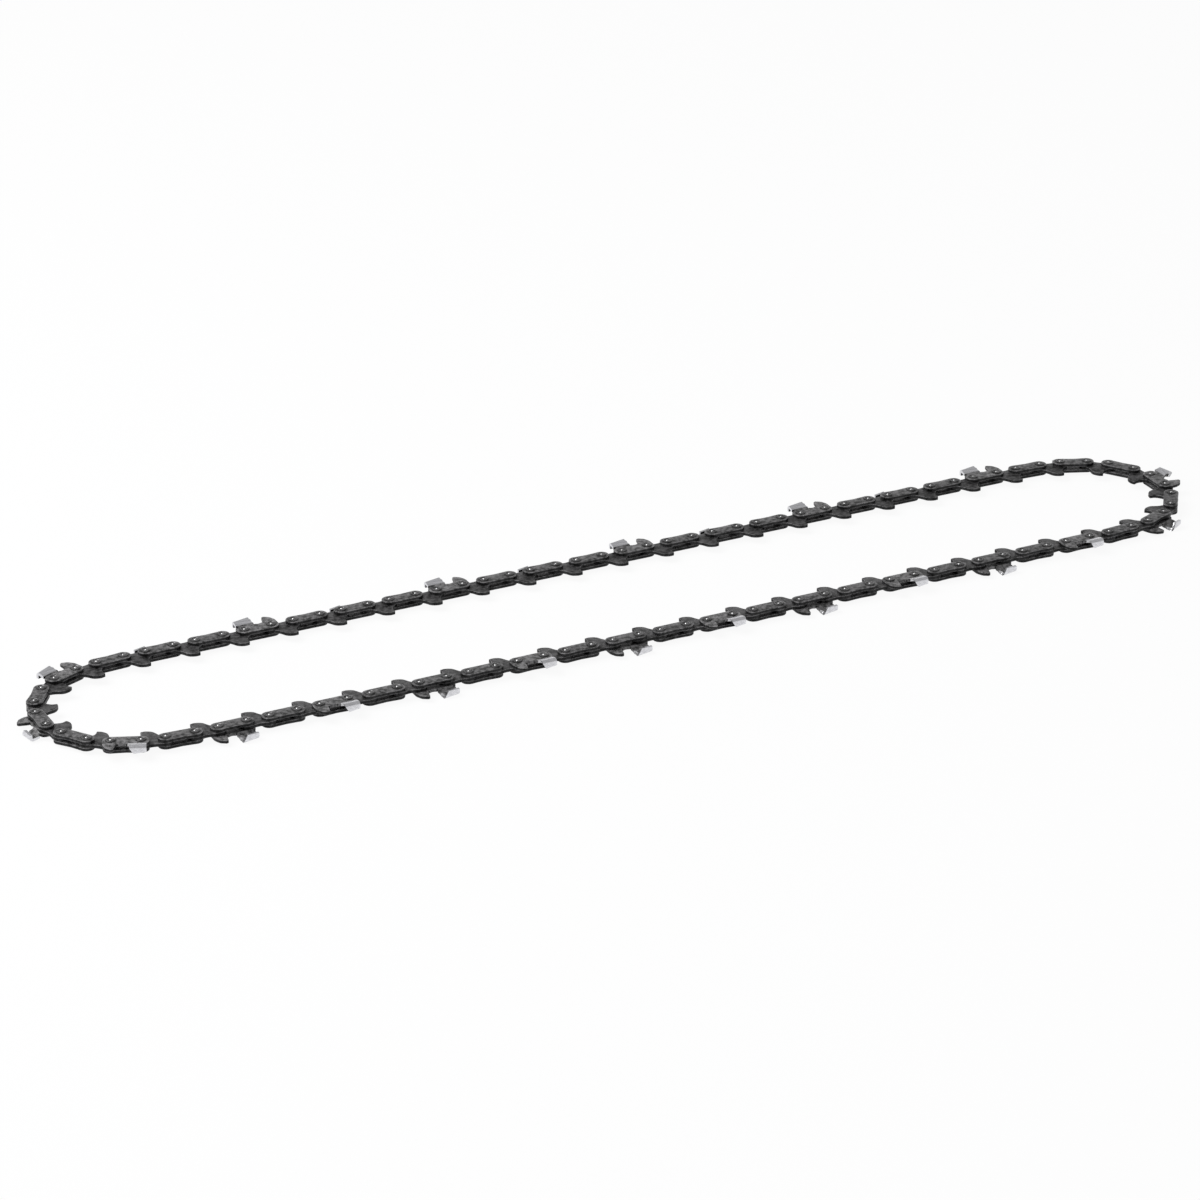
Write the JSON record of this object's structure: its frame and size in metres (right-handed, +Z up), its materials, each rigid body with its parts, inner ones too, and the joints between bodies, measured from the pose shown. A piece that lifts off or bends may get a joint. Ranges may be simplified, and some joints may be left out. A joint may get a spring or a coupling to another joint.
{
  "type": "chainsaw chain loop",
  "caption": "Closed low-profile saw chain: riveted tie straps and hooked drive links, with right and left cutters in turn, lying on its side in a long loop.",
  "frame": {"origin": "middle of the loop on the surface it lies on", "axes": "+X along the long runs, +Y from the near run to the far run, +Z up along the rivets"},
  "size_m": [0.463, 0.0814, 0.0064],
  "materials": {
    "chain_steel": "black-oxide satin steel",
    "cutter_steel": "black-oxide satin steel with chromed teeth"
  },
  "bodies": {
    "unit_01": {"right_cutter_link_01": "cutter_steel"},
    "unit_02": {"tie_strap_link_02": "chain_steel"},
    "unit_03": {"left_cutter_link_03": "cutter_steel"},
    "unit_04": {"tie_strap_link_04": "chain_steel"},
    "unit_05": {"right_cutter_link_05": "cutter_steel"},
    "unit_06": {"tie_strap_link_06": "chain_steel"},
    "unit_07": {"left_cutter_link_07": "cutter_steel"},
    "unit_08": {"tie_strap_link_08": "chain_steel"},
    "unit_09": {"right_cutter_link_09": "cutter_steel"},
    "unit_10": {"tie_strap_link_10": "chain_steel"},
    "unit_11": {"left_cutter_link_11": "cutter_steel"},
    "unit_12": {"tie_strap_link_12": "chain_steel"},
    "unit_13": {"right_cutter_link_13": "cutter_steel"},
    "unit_14": {"tie_strap_link_14": "chain_steel"},
    "unit_15": {"left_cutter_link_15": "cutter_steel"},
    "unit_16": {"tie_strap_link_16": "chain_steel"},
    "unit_17": {"right_cutter_link_17": "cutter_steel"},
    "unit_18": {"tie_strap_link_18": "chain_steel"},
    "unit_19": {"left_cutter_link_19": "cutter_steel"},
    "unit_20": {"tie_strap_link_20": "chain_steel"},
    "unit_21": {"right_cutter_link_21": "cutter_steel"},
    "unit_22": {"tie_strap_link_22": "chain_steel"},
    "unit_23": {"left_cutter_link_23": "cutter_steel"},
    "unit_24": {"tie_strap_link_24": "chain_steel"},
    "unit_25": {"right_cutter_link_25": "cutter_steel"},
    "unit_26": {"tie_strap_link_26": "chain_steel"},
    "unit_27": {"left_cutter_link_27": "cutter_steel"},
    "unit_28": {"tie_strap_link_28": "chain_steel"},
    "unit_29": {"right_cutter_link_29": "cutter_steel"},
    "unit_30": {"tie_strap_link_30": "chain_steel"},
    "unit_31": {"left_cutter_link_31": "cutter_steel"},
    "unit_32": {"tie_strap_link_32": "chain_steel"},
    "unit_33": {"right_cutter_link_33": "cutter_steel"},
    "unit_34": {"tie_strap_link_34": "chain_steel"},
    "unit_35": {"left_cutter_link_35": "cutter_steel"},
    "unit_36": {"tie_strap_link_36": "chain_steel"},
    "unit_37": {"right_cutter_link_37": "cutter_steel"},
    "unit_38": {"tie_strap_link_38": "chain_steel"},
    "unit_39": {"left_cutter_link_39": "cutter_steel"},
    "unit_40": {"tie_strap_link_40": "chain_steel"},
    "unit_41": {"right_cutter_link_41": "cutter_steel"},
    "unit_42": {"tie_strap_link_42": "chain_steel"},
    "unit_43": {"left_cutter_link_43": "cutter_steel"},
    "unit_44": {"tie_strap_link_44": "chain_steel"},
    "unit_45": {"right_cutter_link_45": "cutter_steel"},
    "unit_46": {"tie_strap_link_46": "chain_steel"},
    "unit_47": {"left_cutter_link_47": "cutter_steel"},
    "unit_48": {"tie_strap_link_48": "chain_steel"},
    "unit_49": {"right_cutter_link_49": "cutter_steel"},
    "unit_50": {"tie_strap_link_50": "chain_steel"},
    "unit_51": {"left_cutter_link_51": "cutter_steel"},
    "unit_52": {"tie_strap_link_52": "chain_steel"}
  },
  "joints": [
    {"name": "pivot_39", "type": "hinge", "parent": "unit_38", "child": "unit_39", "pos_m": [-0.01352, -0.03326, 0.0032], "axis": [0, 0, -1], "range_deg": [-0.86, 3.29]},
    {"name": "pivot_38", "type": "hinge", "parent": "unit_38", "child": "unit_37", "pos_m": [0.00512, -0.03326, 0.0032], "axis": [0, 0, 1], "range_deg": [-0.95, 3.37]},
    {"name": "pivot_40", "type": "hinge", "parent": "unit_39", "child": "unit_40", "pos_m": [-0.03216, -0.03326, 0.0032], "axis": [0, 0, -1], "range_deg": [-0.95, 3.37]},
    {"name": "pivot_37", "type": "hinge", "parent": "unit_37", "child": "unit_36", "pos_m": [0.02376, -0.03326, 0.0032], "axis": [0, 0, 1], "range_deg": [-0.95, 3.37]},
    {"name": "pivot_41", "type": "hinge", "parent": "unit_40", "child": "unit_41", "pos_m": [-0.0508, -0.03326, 0.0032], "axis": [0, 0, -1], "range_deg": [-0.95, 3.37]},
    {"name": "pivot_36", "type": "hinge", "parent": "unit_36", "child": "unit_35", "pos_m": [0.0424, -0.03326, 0.0032], "axis": [0, 0, 1], "range_deg": [-0.95, 3.37]},
    {"name": "pivot_42", "type": "hinge", "parent": "unit_41", "child": "unit_42", "pos_m": [-0.06944, -0.03326, 0.0032], "axis": [0, 0, -1], "range_deg": [-0.95, 3.37]},
    {"name": "pivot_35", "type": "hinge", "parent": "unit_35", "child": "unit_34", "pos_m": [0.06104, -0.03326, 0.0032], "axis": [0, 0, 1], "range_deg": [-0.95, 3.37]},
    {"name": "pivot_43", "type": "hinge", "parent": "unit_42", "child": "unit_43", "pos_m": [-0.08808, -0.03326, 0.0032], "axis": [0, 0, -1], "range_deg": [-0.95, 3.37]},
    {"name": "pivot_34", "type": "hinge", "parent": "unit_34", "child": "unit_33", "pos_m": [0.07968, -0.03326, 0.0032], "axis": [0, 0, 1], "range_deg": [-0.95, 3.37]},
    {"name": "pivot_44", "type": "hinge", "parent": "unit_43", "child": "unit_44", "pos_m": [-0.10672, -0.03326, 0.0032], "axis": [0, 0, -1], "range_deg": [-0.95, 3.37]},
    {"name": "pivot_33", "type": "hinge", "parent": "unit_33", "child": "unit_32", "pos_m": [0.09832, -0.03326, 0.0032], "axis": [0, 0, 1], "range_deg": [-0.95, 3.37]},
    {"name": "pivot_45", "type": "hinge", "parent": "unit_44", "child": "unit_45", "pos_m": [-0.12536, -0.03326, 0.0032], "axis": [0, 0, -1], "range_deg": [-0.95, 3.37]},
    {"name": "pivot_32", "type": "hinge", "parent": "unit_32", "child": "unit_31", "pos_m": [0.11696, -0.03326, 0.0032], "axis": [0, 0, 1], "range_deg": [-0.95, 3.37]},
    {"name": "pivot_46", "type": "hinge", "parent": "unit_45", "child": "unit_46", "pos_m": [-0.144, -0.03326, 0.0032], "axis": [0, 0, -1], "range_deg": [-0.94, 3.36]},
    {"name": "pivot_31", "type": "hinge", "parent": "unit_31", "child": "unit_30", "pos_m": [0.1356, -0.03326, 0.0032], "axis": [0, 0, 1], "range_deg": [-0.95, 3.37]},
    {"name": "pivot_47", "type": "hinge", "parent": "unit_46", "child": "unit_47", "pos_m": [-0.16264, -0.03325, 0.0032], "axis": [0, 0, -1], "range_deg": [-0.89, 3.17]},
    {"name": "pivot_30", "type": "hinge", "parent": "unit_30", "child": "unit_29", "pos_m": [0.15424, -0.03326, 0.0032], "axis": [0, 0, 1], "range_deg": [-0.93, 3.32]},
    {"name": "pivot_48", "type": "hinge", "parent": "unit_47", "child": "unit_48", "pos_m": [-0.18128, -0.03304, 0.0032], "axis": [0, 0, -1], "range_deg": [-0.24, 0.84]},
    {"name": "pivot_29", "type": "hinge", "parent": "unit_29", "child": "unit_28", "pos_m": [0.17288, -0.03319, 0.0032], "axis": [0, 0, 1], "range_deg": [-0.74, 2.62]},
    {"name": "pivot_49", "type": "hinge", "parent": "unit_48", "child": "unit_49", "pos_m": [-0.19975, -0.03084, 0.0032], "axis": [0, 0, -1], "range_deg": [-8.73, 2.46]},
    {"name": "pivot_28", "type": "hinge", "parent": "unit_28", "child": "unit_27", "pos_m": [0.1915, -0.03239, 0.0032], "axis": [0, 0, 1], "range_deg": [-3.39, 0.95]},
    {"name": "pivot_50", "type": "hinge", "parent": "unit_49", "child": "unit_50", "pos_m": [-0.21573, -0.02158, 0.0032], "axis": [0, 0, -1], "range_deg": [-13.04, 3.67]},
    {"name": "pivot_27", "type": "hinge", "parent": "unit_27", "child": "unit_26", "pos_m": [0.20918, -0.02684, 0.0032], "axis": [0, 0, 1], "range_deg": [-11.9, 3.35]},
    {"name": "pivot_51", "type": "hinge", "parent": "unit_50", "child": "unit_51", "pos_m": [-0.22402, -0.00512, 0.0032], "axis": [0, 0, -1], "range_deg": [-13.45, 3.79]},
    {"name": "pivot_26", "type": "hinge", "parent": "unit_26", "child": "unit_25", "pos_m": [0.22153, -0.01314, 0.0032], "axis": [0, 0, 1], "range_deg": [-13.36, 3.76]},
    {"name": "pivot_52", "type": "hinge", "parent": "unit_51", "child": "unit_52", "pos_m": [-0.22153, 0.01314, 0.0032], "axis": [0, 0, -1], "range_deg": [-13.36, 3.76]},
    {"name": "pivot_25", "type": "hinge", "parent": "unit_25", "child": "unit_24", "pos_m": [0.22402, 0.00512, 0.0032], "axis": [0, 0, 1], "range_deg": [-13.45, 3.79]},
    {"name": "pivot_01", "type": "hinge", "parent": "unit_52", "child": "unit_01", "pos_m": [-0.20918, 0.02684, 0.0032], "axis": [0, 0, -1], "range_deg": [-11.9, 3.35]},
    {"name": "pivot_24", "type": "hinge", "parent": "unit_24", "child": "unit_23", "pos_m": [0.21573, 0.02158, 0.0032], "axis": [0, 0, 1], "range_deg": [-13.04, 3.67]},
    {"name": "pivot_02", "type": "hinge", "parent": "unit_01", "child": "unit_02", "pos_m": [-0.1915, 0.03239, 0.0032], "axis": [0, 0, -1], "range_deg": [-3.39, 0.95]},
    {"name": "pivot_23", "type": "hinge", "parent": "unit_23", "child": "unit_22", "pos_m": [0.19975, 0.03084, 0.0032], "axis": [0, 0, 1], "range_deg": [-8.73, 2.46]},
    {"name": "pivot_03", "type": "hinge", "parent": "unit_02", "child": "unit_03", "pos_m": [-0.17288, 0.03319, 0.0032], "axis": [0, 0, -1], "range_deg": [-0.74, 2.62]},
    {"name": "pivot_22", "type": "hinge", "parent": "unit_22", "child": "unit_21", "pos_m": [0.18128, 0.03304, 0.0032], "axis": [0, 0, 1], "range_deg": [-0.24, 0.84]},
    {"name": "pivot_04", "type": "hinge", "parent": "unit_03", "child": "unit_04", "pos_m": [-0.15424, 0.03326, 0.0032], "axis": [0, 0, -1], "range_deg": [-0.93, 3.32]},
    {"name": "pivot_21", "type": "hinge", "parent": "unit_21", "child": "unit_20", "pos_m": [0.16264, 0.03325, 0.0032], "axis": [0, 0, 1], "range_deg": [-0.89, 3.17]},
    {"name": "pivot_05", "type": "hinge", "parent": "unit_04", "child": "unit_05", "pos_m": [-0.1356, 0.03326, 0.0032], "axis": [0, 0, -1], "range_deg": [-0.95, 3.37]},
    {"name": "pivot_20", "type": "hinge", "parent": "unit_20", "child": "unit_19", "pos_m": [0.144, 0.03326, 0.0032], "axis": [0, 0, 1], "range_deg": [-0.94, 3.36]},
    {"name": "pivot_06", "type": "hinge", "parent": "unit_05", "child": "unit_06", "pos_m": [-0.11696, 0.03326, 0.0032], "axis": [0, 0, -1], "range_deg": [-0.95, 3.37]},
    {"name": "pivot_19", "type": "hinge", "parent": "unit_19", "child": "unit_18", "pos_m": [0.12536, 0.03326, 0.0032], "axis": [0, 0, 1], "range_deg": [-0.95, 3.37]},
    {"name": "pivot_07", "type": "hinge", "parent": "unit_06", "child": "unit_07", "pos_m": [-0.09832, 0.03326, 0.0032], "axis": [0, 0, -1], "range_deg": [-0.95, 3.37]},
    {"name": "pivot_18", "type": "hinge", "parent": "unit_18", "child": "unit_17", "pos_m": [0.10672, 0.03326, 0.0032], "axis": [0, 0, 1], "range_deg": [-0.95, 3.37]},
    {"name": "pivot_08", "type": "hinge", "parent": "unit_07", "child": "unit_08", "pos_m": [-0.07968, 0.03326, 0.0032], "axis": [0, 0, -1], "range_deg": [-0.95, 3.37]},
    {"name": "pivot_17", "type": "hinge", "parent": "unit_17", "child": "unit_16", "pos_m": [0.08808, 0.03326, 0.0032], "axis": [0, 0, 1], "range_deg": [-0.95, 3.37]},
    {"name": "pivot_09", "type": "hinge", "parent": "unit_08", "child": "unit_09", "pos_m": [-0.06104, 0.03326, 0.0032], "axis": [0, 0, -1], "range_deg": [-0.95, 3.37]},
    {"name": "pivot_16", "type": "hinge", "parent": "unit_16", "child": "unit_15", "pos_m": [0.06944, 0.03326, 0.0032], "axis": [0, 0, 1], "range_deg": [-0.95, 3.37]},
    {"name": "pivot_10", "type": "hinge", "parent": "unit_09", "child": "unit_10", "pos_m": [-0.0424, 0.03326, 0.0032], "axis": [0, 0, -1], "range_deg": [-0.95, 3.37]},
    {"name": "pivot_15", "type": "hinge", "parent": "unit_15", "child": "unit_14", "pos_m": [0.0508, 0.03326, 0.0032], "axis": [0, 0, 1], "range_deg": [-0.95, 3.37]},
    {"name": "pivot_11", "type": "hinge", "parent": "unit_10", "child": "unit_11", "pos_m": [-0.02376, 0.03326, 0.0032], "axis": [0, 0, -1], "range_deg": [-0.95, 3.37]},
    {"name": "pivot_14", "type": "hinge", "parent": "unit_14", "child": "unit_13", "pos_m": [0.03216, 0.03326, 0.0032], "axis": [0, 0, 1], "range_deg": [-0.95, 3.37]},
    {"name": "pivot_13", "type": "hinge", "parent": "unit_13", "child": "unit_12", "pos_m": [0.01352, 0.03326, 0.0032], "axis": [0, 0, 1], "range_deg": [-0.95, 3.37]}
  ],
  "couplings": [
    {"joint": "pivot_38", "follows": "pivot_39", "ratio": 1},
    {"joint": "pivot_40", "follows": "pivot_39", "ratio": 1},
    {"joint": "pivot_37", "follows": "pivot_39", "ratio": 1},
    {"joint": "pivot_41", "follows": "pivot_39", "ratio": 1},
    {"joint": "pivot_36", "follows": "pivot_39", "ratio": 1},
    {"joint": "pivot_42", "follows": "pivot_39", "ratio": 1},
    {"joint": "pivot_35", "follows": "pivot_39", "ratio": 1},
    {"joint": "pivot_43", "follows": "pivot_39", "ratio": 1},
    {"joint": "pivot_34", "follows": "pivot_39", "ratio": 1},
    {"joint": "pivot_44", "follows": "pivot_39", "ratio": 0.99998},
    {"joint": "pivot_33", "follows": "pivot_39", "ratio": 0.99999},
    {"joint": "pivot_45", "follows": "pivot_39", "ratio": 0.9997},
    {"joint": "pivot_32", "follows": "pivot_39", "ratio": 0.99992},
    {"joint": "pivot_46", "follows": "pivot_39", "ratio": 0.99574},
    {"joint": "pivot_31", "follows": "pivot_39", "ratio": 0.99888},
    {"joint": "pivot_47", "follows": "pivot_39", "ratio": 0.93937},
    {"joint": "pivot_30", "follows": "pivot_39", "ratio": 0.98387},
    {"joint": "pivot_48", "follows": "pivot_39", "ratio": 0.24929},
    {"joint": "pivot_29", "follows": "pivot_39", "ratio": 0.77751},
    {"joint": "pivot_49", "follows": "pivot_39", "ratio": -2.5883},
    {"joint": "pivot_28", "follows": "pivot_39", "ratio": -1.0063},
    {"joint": "pivot_50", "follows": "pivot_39", "ratio": -3.8664},
    {"joint": "pivot_27", "follows": "pivot_39", "ratio": -3.5298},
    {"joint": "pivot_51", "follows": "pivot_39", "ratio": -3.9899},
    {"joint": "pivot_26", "follows": "pivot_39", "ratio": -3.9636},
    {"joint": "pivot_52", "follows": "pivot_39", "ratio": -3.9636},
    {"joint": "pivot_25", "follows": "pivot_39", "ratio": -3.9899},
    {"joint": "pivot_01", "follows": "pivot_39", "ratio": -3.5298},
    {"joint": "pivot_24", "follows": "pivot_39", "ratio": -3.8664},
    {"joint": "pivot_02", "follows": "pivot_39", "ratio": -1.0063},
    {"joint": "pivot_23", "follows": "pivot_39", "ratio": -2.5883},
    {"joint": "pivot_03", "follows": "pivot_39", "ratio": 0.77751},
    {"joint": "pivot_22", "follows": "pivot_39", "ratio": 0.24929},
    {"joint": "pivot_04", "follows": "pivot_39", "ratio": 0.98387},
    {"joint": "pivot_21", "follows": "pivot_39", "ratio": 0.93937},
    {"joint": "pivot_05", "follows": "pivot_39", "ratio": 0.99888},
    {"joint": "pivot_20", "follows": "pivot_39", "ratio": 0.99574},
    {"joint": "pivot_06", "follows": "pivot_39", "ratio": 0.99992},
    {"joint": "pivot_19", "follows": "pivot_39", "ratio": 0.9997},
    {"joint": "pivot_07", "follows": "pivot_39", "ratio": 0.99999},
    {"joint": "pivot_18", "follows": "pivot_39", "ratio": 0.99998},
    {"joint": "pivot_08", "follows": "pivot_39", "ratio": 1},
    {"joint": "pivot_17", "follows": "pivot_39", "ratio": 1},
    {"joint": "pivot_09", "follows": "pivot_39", "ratio": 1},
    {"joint": "pivot_16", "follows": "pivot_39", "ratio": 1},
    {"joint": "pivot_10", "follows": "pivot_39", "ratio": 1},
    {"joint": "pivot_15", "follows": "pivot_39", "ratio": 1},
    {"joint": "pivot_11", "follows": "pivot_39", "ratio": 1},
    {"joint": "pivot_14", "follows": "pivot_39", "ratio": 1},
    {"joint": "pivot_13", "follows": "pivot_39", "ratio": 1}
  ]
}
